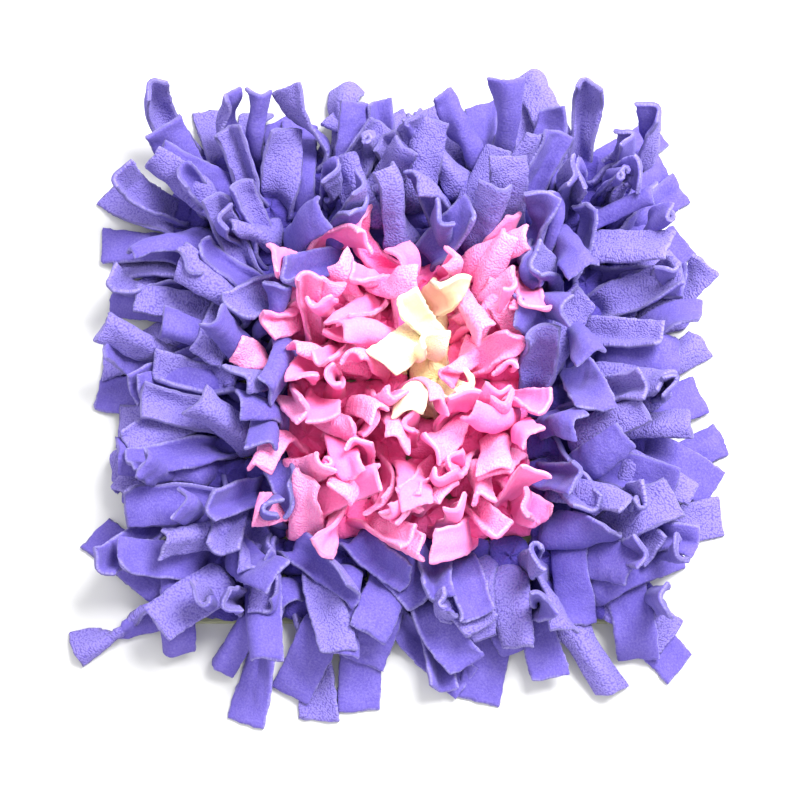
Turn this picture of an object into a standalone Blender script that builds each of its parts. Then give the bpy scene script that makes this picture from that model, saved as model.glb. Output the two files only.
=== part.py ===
"""Snuffle mat: strips of fleece knotted over the bars of a rubber lattice.

Each strip is tied once over a bar, so each knot sends up two free tails. The tails at the rim
lie out flat on the floor, and those further in stand up and curl over. Units are metres, +Z is
up, and the origin is on the lattice's underside, at its centre.
"""

from types import SimpleNamespace

import bmesh
import bpy
import numpy as np
from mathutils import Vector
from mathutils.bvhtree import BVHTree

MM = 0.001
UP = np.array([0.0, 0.0, 1.0])

# The lattice. Its holes stand midway between the knots along X, so each knot has a bar under it.
PITCH = 25 * MM
KNOTS_ACROSS = 12
BASE_THICKNESS = 4 * MM
HOLE_SIDE = 18 * MM
HOLE_COLUMNS = KNOTS_ACROSS - 1
HOLE_ROWS = KNOTS_ACROSS
BASE_WIDTH = 290 * MM
BASE_DEPTH = 304 * MM
BASE_EDGE = 1 * MM

# The fleece. A tail is gathered where it leaves its knot, and opens to its full width further up.
FLEECE = 2 * MM
TAIL_WIDTH = 25 * MM
TAIL_LENGTHS = (60 * MM, 74 * MM)
RIM_LENGTHS = (55 * MM, 94 * MM)
RIM_SLACK = 1.06
GATHERED_BEND = 4.3
OPENED_AT = 0.36
RIM_BEND = 0.15

# The bed of knots that holds the roots of the tails, one for each colour.
GAP = 0.3 * MM
BED_BOTTOM = BASE_THICKNESS + GAP
BED_TOP = 8 * MM
BED_SIDE = 302 * MM
BED_SLOPE = 3.5 * MM
PINK_KNOTS = (6, 7)
PINK_PLACE = (0, -PITCH / 2)
CREAM_KNOTS = (1, 3)
CREAM_PLACE = (PITCH / 2, PITCH / 2)
ROOT_DEPTH = 1 * MM
ROOT_WIDTH = 8 * MM
ROOT_CELL = 9.5 * MM

# The lines that the tails take. A tail leaves its knot with a lean that grows towards the rim, and
# flops further over by its tip. It may stray from pointing outwards, but it keeps to its colour.
SEED = 5
FIELD = KNOTS_ACROSS * PITCH / 2
KNOT_TOP = 12 * MM
KNOT_REACH = 7 * MM
KNOT_TURN = 0.35
LEAN_MIDDLE = np.radians(8)
LEAN_RIM = np.radians(78)
LEAN_FROM = 0.55
INNER_FLOPS = np.radians((20, 90))
RIM_FLOPS = np.radians((0, 25))
MOST_LEAN = np.radians(98)
INNER_STRAY = np.radians(88)
RIM_STRAY = np.radians(18)
RETRY_STRAY = 0.8
HEADING_TRIES = 12
OVER_BORDER = 14 * MM
OUTLINE = np.array([184, 189]) * MM
OUTLINE_MIDDLE = np.array([1, -6]) * MM
OUTLINE_POWER = 3.7
ROLLS = (20, 45)
INNER_BENDS = (0.6, 3.6)
OUTER_BENDS = (0.3, 1.5)

# How they are spread apart.
ROWS = 6
SAMPLES_ALONG = 3 * ROWS - 2
SAMPLES_ACROSS = 6
PASSES = 170
SETTLE_PASSES = 20
SETTLE_ROUNDS = 3
SQUARED_PASSES = 8
CLEAR = 4.6 * MM
CLEAR_OF_OTHER_COLOUR = 5.6 * MM
THIN = 0.12
GROWN_BY = 0.62
STEERED_UNTIL = 0.72
PULL = 0.6 * MM
ROLL_EASE = 0.04
BEND_EASE = 0.10
SAG = 0.12 * MM
HARD = 0.9
PUSH = 2.2
LONGEST_STEP = 2.2 * MM
HOLD_ROOT = 0.35
HOLD_FIRST_ROW = 0.25

PURPLE, PINK, CREAM = 0, 1, 2
FLEECE_COLOURS = {
    "purple_tails": (PURPLE, (0.30, 0.25, 0.85)),
    "pink_tails": (PINK, (0.94, 0.27, 0.62)),
    "cream_tails": (CREAM, (0.98, 0.92, 0.62)),
}
FLEECE_ROUGHNESS = 0.95
RUBBER_COLOUR = (0.62, 0.62, 0.50)
RUBBER_ROUGHNESS = 0.5

# The few tails further in that have places of their own: the cream ones, and the pink ones that
# stray over the purple. The columns are those of the rim tails below, and then the colour.
INNER_TAILS = (
    (-18, -5, 232, 62, 0, CREAM), (27, 4, -10, 63, 0, CREAM), (26, -12, -30, 56, -35, CREAM),
    (-2, -35, 240, 56, 50, CREAM), (28, 48, 20, 60, 30, CREAM), (4, 33, 150, 64, 20, CREAM),
    (-104, 14, 182, 40, 0, PINK), (-90, -92, 215, 44, 10, PINK), (82, -92, -50, 42, 0, PINK),
    (95, 54, 15, 46, 20, PINK), (90, -18, -20, 46, 0, PINK), (-19, 98, 90, 48, 30, PINK),
    (67, 98, 75, 46, 0, PINK),
)
INNER_REACH = 30 * MM
INNER_LEAN = 0.7
INNER_BEND = 0.5

# The tails that lie out round the rim, clockwise from the top left: where the tip comes to rest
# and how far it is lifted, in millimetres, and its bearing from +X and its roll, in degrees.
RIM_COLUMNS = ("tip_x", "tip_y", "bearing", "lift", "roll")
RIM_TAILS = (
    (-154, 176, 117, 1, 0), (-126, 187, 103, 1, 0), (-104, 186, 100, 4, 8),
    (-84, 178, 95, 3, 0), (-71, 178, 92, 3, 0), (-54, 185, 118, 1, 0),
    (-48, 181, 127, 12, 60), (-16, 184, 115, 1, 0), (16, 185, 102, 2, 0),
    (47, 193, 118, 1, 0), (77, 211, 104, 1, 0), (83, 193, 90, 6, 0),
    (114, 172, 78, 1, 0), (165, 175, 41, 1, 10), (151, 149, 38, 9, 10),
    (171, 145, 38, 8, 75), (181, 128, 30, 2, 0), (179, 99, 27, 1, 0),
    (174, 88, 44, 5, 45), (178, 45, 26, 3, 0), (189, 25, 25, 1, 0),
    (187, -8, 18, 2, 0), (195, -33, 30, 1, 0), (195, -68, -20, 4, 40),
    (197, -85, 16, 1, 0), (173, -102, 14, 4, 10), (162, -133, -22, 1, 0),
    (162, -164, -40, 4, 0), (169, -181, -48, 1, 0), (146, -176, -73, 1, 0),
    (125, -195, -68, 1, 0), (111, -160, -80, 8, 0),
    (77, -160, -78, 5, 0), (61, -171, -85, 1, 0), (46, -172, -89, 6, 10),
    (44, -202, -99, 1, 0), (38, -188, -46, 2, 40), (-32, -208, -100, 1, 0),
    (-28, -182, -105, 8, 0), (-52, -211, -92, 2, 40), (-70, -199, -112, 1, 0),
    (-102, -210, -123, 2, 55), (-114, -184, -135, 1, 0), (-133, -175, -75, 2, 50),
    (-184, -153, 188, 2, 50), (-190, -110, 163, 2, 0), (-193, -94, 146, 1, 0),
    (-181, -74, 155, 2, 25), (-187, -54, 172, 1, 0), (-187, -40, 147, 2, 0),
    (-187, -29, 160, 5, 0), (-195, 0, 155, 5, 75), (-196, 12, 198, 2, 45),
    (-189, 50, 172, 5, 0), (-192, 72, 167, 3, 20), (-198, 96, 163, 4, 75),
    (-193, 132, 142, 1, 0), (-132, 135, 113, 10, 5),
)
SAVED = 2.5
NEAREST_RIM_ROOT = 42 * MM
FARTHEST_RIM_ROOT = 86 * MM
LIKELY_RIM_ROOT = 66 * MM
OUTER_KNOTS = 0.84
POOR_REACH_COST = (50 * MM) ** 2
INNER_KNOT_COST = (30 * MM) ** 2
OTHER_COLOUR_COST = 1.0


def unit(vectors):
    """The vectors scaled to length 1."""
    return vectors / np.maximum(np.linalg.norm(vectors, axis=-1, keepdims=True), 1e-9)


def smooth(low, high, x):
    """0 up to low, 1 from high on, and a smooth step between them."""
    t = np.clip((x - low) / (high - low), 0, 1)
    return t * t * (3 - 2 * t)


def level(angle):
    """The level unit vectors at these angles from +X."""
    return np.stack([np.cos(angle), np.sin(angle), np.zeros_like(angle)], -1)


def knot_places():
    """The places of the knots, row by row."""
    along = (np.arange(KNOTS_ACROSS) - (KNOTS_ACROSS - 1) / 2) * PITCH
    x, y = np.meshgrid(along, along)
    return np.stack([x.ravel(), y.ravel()], -1)


def outside(places, middle, knots):
    """How far the places are outside a block of so many knots; inside it, less than 0."""
    return (np.abs(places - np.array(middle)) - np.array(knots) * PITCH / 2).max(1)


def colour_at(places):
    """Purple all round, with a pink block in it, and a short cream column in that."""
    colour = np.full(len(places), PURPLE)
    colour[outside(places, PINK_PLACE, PINK_KNOTS) < 0] = PINK
    colour[outside(places, CREAM_PLACE, CREAM_KNOTS) < 0] = CREAM
    return colour


def among_others(places, colour):
    """Whether these places are well inside another colour's block than their own."""
    pink, cream = outside(places, PINK_PLACE, PINK_KNOTS), outside(places, CREAM_PLACE, CREAM_KNOTS)
    off = {PURPLE: -pink, PINK: np.maximum(pink, -cream), CREAM: cream}
    return np.select([colour == code for code in off], list(off.values())) > OVER_BORDER


def within_outline(root, goal):
    """Goals drawn in to the outline, a square with round corners, and raised to keep their reach."""
    spot = goal[:, :2] - OUTLINE_MIDDLE
    over = ((np.abs(spot) / OUTLINE) ** OUTLINE_POWER).sum(1) ** (1 / OUTLINE_POWER)
    reach = np.linalg.norm(goal - root, axis=1)
    drawn = goal.copy()
    drawn[:, :2] = OUTLINE_MIDDLE + spot / np.maximum(over, 1)[:, None]
    level_reach = np.linalg.norm(drawn[:, :2] - root[:, :2], axis=1)
    higher = root[:, 2] + np.sqrt(np.maximum(reach**2 - level_reach**2, 0))
    drawn[:, 2] = np.where(over > 1, higher, goal[:, 2])
    return drawn


def choose_roots(cost):
    """One root for each placed tail: the cheapest free one, and then swaps for as long as they save."""
    pick = []
    for row in cost:
        row = row.copy()
        row[pick] = np.inf
        pick.append(int(np.argmin(row)))
    for _ in range(ROWS):
        for i in range(len(pick)):
            for j in range(i):
                now = cost[i, pick[i]] + cost[j, pick[j]]
                swapped = cost[i, pick[j]] + cost[j, pick[i]]
                if swapped < now - 1e-12:
                    pick[i], pick[j] = pick[j], pick[i]
            spare = np.setdiff1d(np.arange(cost.shape[1]), pick)
            best = spare[np.argmin(cost[i, spare])]
            if cost[i, best] < cost[i, pick[i]]:
                pick[i] = int(best)
    return np.array(pick)


def inner_root_cost(root, colour, tip, heading, wanted):
    """How badly each root suits each inner tail with a place of its own, as an area."""
    likely = tip - INNER_REACH * level(heading)
    cost = ((root[None, :, :2] - likely[:, None, :2]) ** 2).sum(-1)
    return cost + np.where(colour[None] == wanted[:, None], 0, OTHER_COLOUR_COST)


def rim_root_cost(root, colour, edge, tip, heading):
    """How badly each root suits each rim tail, as an area: its distance from the likely place."""
    likely = tip - LIKELY_RIM_ROOT * level(heading)
    cost = ((root[None, :, :2] - likely[:, None, :2]) ** 2).sum(-1)
    reach = np.linalg.norm(root[None, :, :2] - tip[:, None, :2], axis=-1)
    cost += np.where((reach < NEAREST_RIM_ROOT) | (reach > FARTHEST_RIM_ROOT), POOR_REACH_COST, 0)
    cost += np.where(edge > OUTER_KNOTS, 0, INNER_KNOT_COST)
    return cost + np.where(colour == PURPLE, 0, OTHER_COLOUR_COST)


def plan_tails():
    """Where each tail starts, how long and wide it is, and where it would like to go."""
    rng = np.random.default_rng(SEED)
    places = knot_places()
    count = len(places)
    turned = (np.arange(count) % KNOTS_ACROSS + np.arange(count) // KNOTS_ACROSS) % 2
    spin = turned * np.pi / 2 + rng.normal(0, KNOT_TURN, count)
    out = level(np.repeat(spin, 2) + np.tile([0, np.pi], count))
    knot = np.pad(np.repeat(places, 2, axis=0), ((0, 0), (0, 1)))
    root = knot + KNOT_TOP * UP + KNOT_REACH * out
    colour = np.repeat(colour_at(places), 2)
    n = len(root)

    edge = np.abs(root[:, :2]).max(1) / FIELD
    inner = 1 - smooth(0.5, 1, edge)
    away = np.arctan2(root[:, 1] * np.abs(root[:, 1]), root[:, 0] * np.abs(root[:, 0]))
    lean = LEAN_MIDDLE + (LEAN_RIM - LEAN_MIDDLE) * smooth(LEAN_FROM, 1, edge)
    length = rng.uniform(*TAIL_LENGTHS, n)
    flop = rng.uniform(*RIM_FLOPS, n) * (1 - inner) + rng.uniform(*INNER_FLOPS, n) * inner
    tip_lean = np.minimum(lean + flop, MOST_LEAN)
    arc = (tip_lean - lean) / 2
    middle_lean = (tip_lean + lean) / 2
    reach = length * np.sin(arc) / np.maximum(arc, 1e-9)
    stray = RIM_STRAY + (INNER_STRAY - RIM_STRAY) * inner
    heading = away + rng.normal(0, 1, n) * stray
    for _ in range(HEADING_TRIES):
        tip = root + (reach * np.sin(middle_lean))[:, None] * level(heading)
        another = away + rng.normal(0, 1, n) * (stray + RETRY_STRAY)
        heading = np.where(among_others(tip[:, :2], colour), another, heading)
    roll = rng.normal(0, 1, n) * np.radians(ROLLS[0] + ROLLS[1] * inner)
    bend = rng.uniform(*OUTER_BENDS, n) * (1 - inner) + rng.uniform(*INNER_BENDS, n) * inner
    tip_way = np.sin(middle_lean)[:, None] * level(heading) + np.cos(middle_lean)[:, None] * UP
    goal = within_outline(root, root + reach[:, None] * tip_way)

    inner_table = np.array(INNER_TAILS, float)
    tip, bearing = inner_table[:, [0, 1, 3]] * MM, np.radians(inner_table[:, 2])
    own = choose_roots(inner_root_cost(root, colour, tip, bearing, inner_table[:, 5]))
    span = tip - root[own]
    length[own] = np.maximum(length[own], np.linalg.norm(span, axis=1) * RIM_SLACK)
    lean[own] = INNER_LEAN * np.arctan2(np.linalg.norm(span[:, :2], axis=1), span[:, 2])
    heading[own] = bearing
    roll[own] = np.radians(inner_table[:, 4])
    bend[own] = INNER_BEND
    goal[own] = tip
    away[own] = np.arctan2(span[:, 1], span[:, 0])
    placed = np.zeros(n, bool)
    placed[own] = True

    rim_table = dict(zip(RIM_COLUMNS, np.array(RIM_TAILS, float).T))
    tip = np.stack([rim_table["tip_x"], rim_table["tip_y"], rim_table["lift"]], -1) * MM
    bearing = np.radians(rim_table["bearing"])
    rim = choose_roots(rim_root_cost(root, colour, edge, tip, bearing))
    on_rim = np.zeros(n, bool)
    on_rim[rim] = True
    placed[rim] = True
    span = tip - root[rim]
    length[rim] = np.clip(np.linalg.norm(span, axis=1) * RIM_SLACK, *RIM_LENGTHS)
    heading[rim] = bearing
    roll[rim] = np.radians(rim_table["roll"])
    bend[rim] = RIM_BEND
    goal[rim] = tip
    away[rim] = np.arctan2(span[:, 1], span[:, 0])
    lean[rim] = LEAN_RIM

    comb = np.sin(lean)[:, None] * level(away) + np.cos(lean)[:, None] * UP
    flat = np.where(on_rim, 1, 0)[:, None]
    start = unit(0.45 * out + (0.4 + 0.6 * flat) * comb + (0.7 - 0.4 * flat) * UP)
    opening = smooth(0, OPENED_AT, np.linspace(0, 1, ROWS))
    bends = GATHERED_BEND + (bend[:, None] - GATHERED_BEND) * opening
    return SimpleNamespace(
        knot=knot, root=root, colour=colour, placed=placed, heading=heading, roll=roll, goal=goal,
        comb=comb, start=start, seg=length / (ROWS - 1),
        width=TAIL_WIDTH * np.sin(bends / 2) / (bends / 2),
    )


def keep_tails(plan, edges, keep):
    """The plan and the edges of the tails that are kept."""
    return SimpleNamespace(**{name: value[keep] for name, value in vars(plan).items()}), edges[keep]


def starting_edges(plan):
    """Each tail as a thin strand that leaves its knot and turns into the way it leans.

    Edges are the left and right edge points of each row of a tail: (tails, ROWS, 2, 3).
    """
    turn = smooth(0, 0.5, np.linspace(0, 1, ROWS))[None, :, None]
    course = unit(plan.start[:, None] * (1 - turn) + plan.comb[:, None] * turn)
    steps = np.cumsum(course[:, :-1] * plan.seg[:, None, None], 1)
    centre = plan.root[:, None] + np.pad(steps, ((0, 0), (1, 0), (0, 0)))
    half = 0.5 * THIN * plan.width[..., None] * unit(np.cross(UP, plan.comb))[:, None]
    return np.stack([centre - half, centre + half], 2)


def sample_shares():
    """How much each edge point counts in each sample spot of a tail, as (spots, edge points)."""
    along = np.linspace(0, ROWS - 1, SAMPLES_ALONG)[:, None, None, None]
    across = np.linspace(0, 1, SAMPLES_ACROSS)[None, :, None, None]
    row_share = np.clip(1 - np.abs(along - np.arange(ROWS)[None, None, :, None]), 0, 1)
    side_share = np.clip(1 - np.abs(across - np.arange(2)[None, None, None, :]), 0, 1)
    return (row_share * side_share).reshape(SAMPLES_ALONG * SAMPLES_ACROSS, ROWS * 2)


def near_pairs(points, owner, reach):
    """Pairs of points on different tails that are closer than reach, found in a grid of cells."""
    cell = np.floor(points / reach).astype(np.int64)
    cell -= cell.min(0) - 1
    size = cell.max(0) + 2
    key = (cell[:, 0] * size[1] + cell[:, 1]) * size[2] + cell[:, 2]
    order = np.argsort(key, kind="stable")
    key = key[order]
    place = np.arange(len(key))
    near = (-1, 0, 1)
    steps = [(dx * size[1] + dy) * size[2] + dz for dx in near for dy in near for dz in near]
    pairs = []
    for step in [step for step in steps if step >= 0]:
        first = place + 1 if step == 0 else np.searchsorted(key, key + step, "left")
        many = np.maximum(np.searchsorted(key, key + step, "right") - first, 0)
        i = np.repeat(place, many)
        j = np.repeat(first - np.cumsum(many) + many, many) + np.arange(many.sum())
        pairs.append(np.stack([order[i], order[j]]))
    a, b = np.concatenate(pairs, 1)
    apart = points[a] - points[b]
    close = (owner[a] != owner[b]) & ((apart * apart).sum(1) < reach * reach)
    return a[close], b[close]


def steer(edges, plan, width, ease):
    """Move each tail a little towards its goal, and roll it a little towards its planned roll."""
    centre, half = edges.mean(2), (edges[:, :, 1] - edges[:, :, 0]) / 2
    weight = smooth(0.15, 1, np.linspace(0, 1, ROWS))[None, :, None]
    pull = 0.05 * (plan.goal - centre[:, -1])[:, None]
    size = np.linalg.norm(pull, axis=-1, keepdims=True)
    held = np.where(plan.placed, 1, ease)[:, None, None]
    centre = centre + held * pull * np.minimum(1, PULL / np.maximum(size, 1e-9)) * weight
    across = unit(np.cross(UP, level(plan.heading)))
    above = np.cross(level(plan.heading), across)
    wanted = (across * np.cos(plan.roll)[:, None] + above * np.sin(plan.roll)[:, None])[:, None]
    now = unit(half)
    facing = np.where((now * wanted).sum(-1, keepdims=True) < 0, -1, 1)
    half = 0.5 * width[..., None] * unit(now + ease * ROLL_EASE * weight * (wanted * facing - now))
    edges = np.stack([centre - half, centre + half], 2)
    edges[..., 2] -= ease * SAG * weight
    return edges


def hold_shape(edges, plan, width):
    """Bring each tail back to its length and its width, and its root to its knot."""
    seg = plan.seg[:, None, None]
    first = plan.root + plan.start * plan.seg[:, None]
    edges[:, 1] += HOLD_FIRST_ROW * (first - edges[:, 1].mean(1))[:, None]
    for i in range(1, ROWS):
        step = edges[:, i] - edges[:, i - 1]
        size = np.linalg.norm(step, axis=-1, keepdims=True)
        move = HARD * step * (seg / np.maximum(size, 1e-9) - 1)
        back = 0.3 if i > 1 else 0
        edges[:, i] += (1 - back) * move
        edges[:, i - 1] -= back * move
        centre = edges[:, i].mean(1)
        half = 0.5 * width[:, i, None] * unit(edges[:, i, 1] - edges[:, i, 0])
        edges[:, i] = np.stack([centre - half, centre + half], 1)
    across = unit(edges[:, 0, 1] - edges[:, 0, 0])
    across = across - 0.7 * (across * plan.start).sum(-1, keepdims=True) * plan.start
    across = unit(unit(across) + 0.2 * unit(edges[:, 1, 1] - edges[:, 1, 0]))
    centre = edges[:, 0].mean(1)
    centre = centre + HOLD_ROOT * (plan.root - centre)
    centre[:, 2] = plan.root[:, 2]
    half = 0.5 * width[:, :1] * across
    edges[:, 0] = np.stack([centre - half, centre + half], 1)
    return edges


def push_apart(edges, samples, pairs, gaps, shares):
    """Push each tail off the others, where their sample spots are closer than their gap."""
    a, b = pairs
    apart = samples[a] - samples[b]
    size = np.sqrt((apart * apart).sum(1))
    hit = size < gaps
    push = apart[hit] * (0.5 * (gaps[hit] - size[hit]) / np.maximum(size[hit], 1e-6))[:, None]
    both = np.concatenate([a[hit], b[hit]])
    push = np.concatenate([push, -push])
    hits = np.bincount(both, minlength=len(samples))
    move = np.stack([np.bincount(both, push[:, k], len(samples)) for k in range(3)], -1)
    move /= np.maximum(hits, 1)[:, None]
    n = len(edges)
    move = np.einsum("nsx,sp->npx", move.reshape(n, -1, 3), shares)
    under = np.einsum("ns,sp->np", (hits > 0).astype(float).reshape(n, -1), shares)
    return edges + PUSH * (move / np.maximum(under, 0.6)[..., None]).reshape(edges.shape)


def lie_on_floor(edges):
    """Lift the rows past the second onto the floor, or over the bed of knots, where they are under it."""
    inside = 1 - smooth(FIELD + 1 * MM, FIELD + 11 * MM, np.abs(edges[..., :2]).max(-1))
    lowest = FLEECE / 2 + (BED_TOP + GAP) * inside
    edges[:, 2:, :, 2] = np.maximum(edges[:, 2:, :, 2], lowest[:, 2:])
    return edges


def spread_tails(plan, edges, thin, passes):
    """Let the tails grow from thin to full width while they keep their length and clear each other.

    A pass steers each tail, evens out its bends, and then takes turns at holding its shape and
    pushing it off its neighbours. It is rounded to a micron, so that it ends alike everywhere.
    """
    n = len(edges)
    shares = sample_shares()
    owner = np.repeat(np.arange(n), len(shares))
    for k in range(passes):
        done = k / passes
        width = plan.width * min(1, thin + (1 - thin) * done / GROWN_BY)
        before = edges.copy()
        edges = steer(edges, plan, width, float(thin < 1 and done < STEERED_UNTIL))
        edges[:, 1:-1] += BEND_EASE * ((edges[:, :-2] + edges[:, 2:]) / 2 - edges[:, 1:-1])
        for turn in range(2 if done < STEERED_UNTIL else 4):
            edges = hold_shape(edges, plan, width)
            samples = np.einsum("sp,npx->nsx", shares, edges.reshape(n, -1, 3)).reshape(-1, 3)
            if k % 3 == 0 and turn == 0:
                pairs = near_pairs(samples, owner, CLEAR_OF_OTHER_COLOUR + 3 * MM)
                colours = [plan.colour[owner[end]] for end in pairs]
                gaps = np.where(colours[0] == colours[1], CLEAR, CLEAR_OF_OTHER_COLOUR)
            edges = push_apart(edges, samples, pairs, gaps, shares)
        edges = lie_on_floor(edges)
        step = edges - before
        size = np.linalg.norm(step, axis=-1, keepdims=True)
        step *= np.minimum(1, LONGEST_STEP / np.maximum(size, 1e-9))
        edges = np.round(before + step, 6)
    return edges


def square_ends(edges):
    """Turn the last row of each tail square to its line, and the row before it half as far."""
    centre = edges.mean(2)
    line = unit(centre[:, -1] - centre[:, -2])
    for row, share in ((-2, 0.5), (-1, 1.0)):
        half = (edges[:, row, 1] - edges[:, row, 0]) / 2
        size = np.linalg.norm(half, axis=-1, keepdims=True)
        half = size * unit(half - share * (half * line).sum(-1, keepdims=True) * line)
        edges[:, row] = np.stack([centre[:, row] - half, centre[:, row] + half], 1)
    return edges


def tail_corners(plan, edges, thickness):
    """The four corners of each row of each tail, as (tails, ROWS, 4, 3).

    The root row is a level oblong just under the top of the bed, within its own knot's place.
    """
    across = edges[:, :, 1] - edges[:, :, 0]
    normal = unit(np.cross(np.gradient(edges.mean(2), axis=1), across))
    lift = 0.5 * thickness * normal
    left, right = edges[:, :, 0], edges[:, :, 1]
    corners = np.stack([left + lift, right + lift, right - lift, left - lift], 2)
    flat = across[:, 0] * [1, 1, 0]
    half = 0.5 * ROOT_WIDTH * unit(flat)
    side = np.cross(UP, unit(flat)) * 0.5 * thickness
    facing = np.where((side * normal[:, 0]).sum(-1, keepdims=True) < 0, -1, 1)
    side = side * facing
    room = ROOT_CELL - np.abs(half) - np.abs(side)
    centre = plan.knot + np.clip(edges[:, 0].mean(1) - plan.knot, -room, room)
    centre[:, 2] = BED_TOP - ROOT_DEPTH
    corners[:, 0] = np.stack(
        [centre - half + side, centre + half + side, centre + half - side, centre - half - side], 1)
    return corners


def loft_faces(rows):
    """The faces of a four-sided loft through so many rows, with its two ends."""
    faces = [(3, 2, 1, 0), tuple(4 * (rows - 1) + k for k in range(4))]
    for row in range(rows - 1):
        for k in range(4):
            a, b = 4 * row + k, 4 * row + (k + 1) % 4
            faces.append((a, b, b + 4, a + 4))
    return faces


def crosses_itself(tree):
    """Whether two lengths of a tail meet that don't follow each other."""
    lengths = [0, ROWS - 2, *np.repeat(np.arange(ROWS - 1), 4)]
    return any(abs(lengths[a] - lengths[b]) > 1 for a, b in tree.overlap(tree))


def crossing_tails(plan, edges):
    """The tails to leave out: any that cross themselves, and then those that cross each other.

    Of those, it is the one that crosses most, again and again. Tails of unlike colours are
    thickened first, so that those that stay have a gap between them.
    """
    faces = loft_faces(ROWS)
    trees, thick_trees = (
        [BVHTree.FromPolygons(c.reshape(-1, 3).tolist(), faces) for c in tail_corners(plan, edges, t)]
        for t in (FLEECE, FLEECE + 2 * GAP)
    )
    low, high = edges.min((1, 2)) - FLEECE, edges.max((1, 2)) + FLEECE
    meet = ((low[:, None] < high[None]) & (low[None] < high[:, None])).all(-1)
    pairs = []
    for i, j in np.argwhere(np.triu(meet, 1)):
        alike = plan.colour[i] == plan.colour[j]
        one, other = (trees[i], trees[j]) if alike else (thick_trees[i], thick_trees[j])
        if one.overlap(other):
            pairs.append((i, j))
    out = [i for i, tree in enumerate(trees) if crosses_itself(tree)]
    pairs = [pair for pair in pairs if not set(pair) & set(out)]
    while pairs:
        load = np.bincount(np.array(pairs).ravel(), minlength=len(edges))
        load = load / np.where(plan.placed, SAVED, 1)
        out.append(int(np.argmax(load)))
        pairs = [pair for pair in pairs if out[-1] not in pair]
    return out


def lay_tails():
    """The plan and the edges of all the tails, spread, settled, and with none across another."""
    plan = plan_tails()
    edges = spread_tails(plan, starting_edges(plan), THIN, PASSES)
    for _ in range(SETTLE_ROUNDS):
        keep = np.setdiff1d(np.arange(len(edges)), crossing_tails(plan, edges))
        plan, edges = keep_tails(plan, edges, keep)
        edges = spread_tails(plan, edges, 1, SETTLE_PASSES)
    edges = spread_tails(plan, square_ends(edges), 1, SQUARED_PASSES)
    keep = np.setdiff1d(np.arange(len(edges)), crossing_tails(plan, edges))
    return keep_tails(plan, edges, keep)


def principled(name, colour, roughness):
    """A plain material."""
    material = bpy.data.materials.new(name)
    material.use_nodes = True
    shader = material.node_tree.nodes["Principled BSDF"]
    shader.inputs["Base Color"].default_value = (*colour, 1)
    shader.inputs["Roughness"].default_value = roughness
    shader.inputs["Metallic"].default_value = 0
    return material


def add_object(name, mesh, collection):
    """A new object in the collection."""
    item = bpy.data.objects.new(name, mesh)
    collection.objects.link(item)
    if collection.name == "cutters":
        item.hide_render = True
        item.display_type = "WIRE"
    return item


def box(name, size, middle, collection, top_inset=0):
    """A box, with its top drawn in by top_inset on all four sides."""
    mesh = bpy.data.meshes.new(name)
    shape = bmesh.new()
    bmesh.ops.create_cube(shape, size=1)
    for vertex in shape.verts:
        inset = 2 * top_inset if vertex.co.z > 0 else 0
        vertex.co.x *= size[0] - inset
        vertex.co.y *= size[1] - inset
        vertex.co.z *= size[2]
        vertex.co += Vector(middle)
    shape.to_mesh(mesh)
    shape.free()
    return add_object(name, mesh, collection)


def boolean(item, operation, other):
    """An exact Boolean between two objects."""
    modifier = item.modifiers.new(f"{operation.title()} {other.name}", "BOOLEAN")
    modifier.operation = operation
    modifier.solver = "EXACT"
    modifier.object = other


def build_base(parts, cutters):
    """The rubber lattice: a flat mat with softened edges and rows of square holes."""
    size = (BASE_WIDTH, BASE_DEPTH, BASE_THICKNESS)
    base = box("base_mat", size, (0, 0, BASE_THICKNESS / 2), parts)
    edges = base.modifiers.new("Softened edges", "BEVEL")
    edges.width = BASE_EDGE
    edges.segments = 1
    first = ((1 - HOLE_COLUMNS) / 2 * PITCH, (1 - HOLE_ROWS) / 2 * PITCH, BASE_THICKNESS / 2)
    holes = box("lattice_holes", (HOLE_SIDE, HOLE_SIDE, 3 * BASE_THICKNESS), first, cutters)
    for axis, count in enumerate((HOLE_COLUMNS, HOLE_ROWS)):
        repeat = holes.modifiers.new(f"Along {'XY'[axis]}", "ARRAY")
        repeat.use_relative_offset = False
        repeat.use_constant_offset = True
        repeat.constant_offset_displace = [PITCH if k == axis else 0 for k in range(3)]
        repeat.count = count
    boolean(base, "DIFFERENCE", holes)
    base.data.materials.append(principled("rubber", RUBBER_COLOUR, RUBBER_ROUGHNESS))


def bed_block(name, knots, middle, collection, cutter=False):
    """A block over so many knots, half a gap inside their border, or for a cutter, half outside."""
    grow = GAP if cutter else -GAP
    size = [count * PITCH + grow for count in knots]
    height = BED_TOP - BED_BOTTOM + (2 * MM if cutter else 0)
    return box(name, (*size, height), (*middle, (BED_BOTTOM + BED_TOP) / 2), collection)


def build_tails(name, plan, corners, bed):
    """One colour's tails, fused to their bed of knots."""
    code, colour = FLEECE_COLOURS[name]
    own = corners[plan.colour == code]
    mesh = bpy.data.meshes.new(f"{name}_loose")
    faces = np.array(loft_faces(ROWS))
    steps = np.arange(len(own))[:, None, None] * ROWS * 4
    mesh.from_pydata(own.reshape(-1, 3).tolist(), [], (faces + steps).reshape(-1, 4).tolist())
    shape = bmesh.new()
    shape.from_mesh(mesh)
    bmesh.ops.recalc_face_normals(shape, faces=shape.faces)
    bmesh.ops.triangulate(shape, faces=shape.faces)
    shape.to_mesh(mesh)
    shape.free()
    loose = add_object(f"{name}_loose", mesh, bpy.data.collections["cutters"])
    boolean(bed, "UNION", loose)
    bed.data.materials.append(principled(name, colour, FLEECE_ROUGHNESS))


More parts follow.
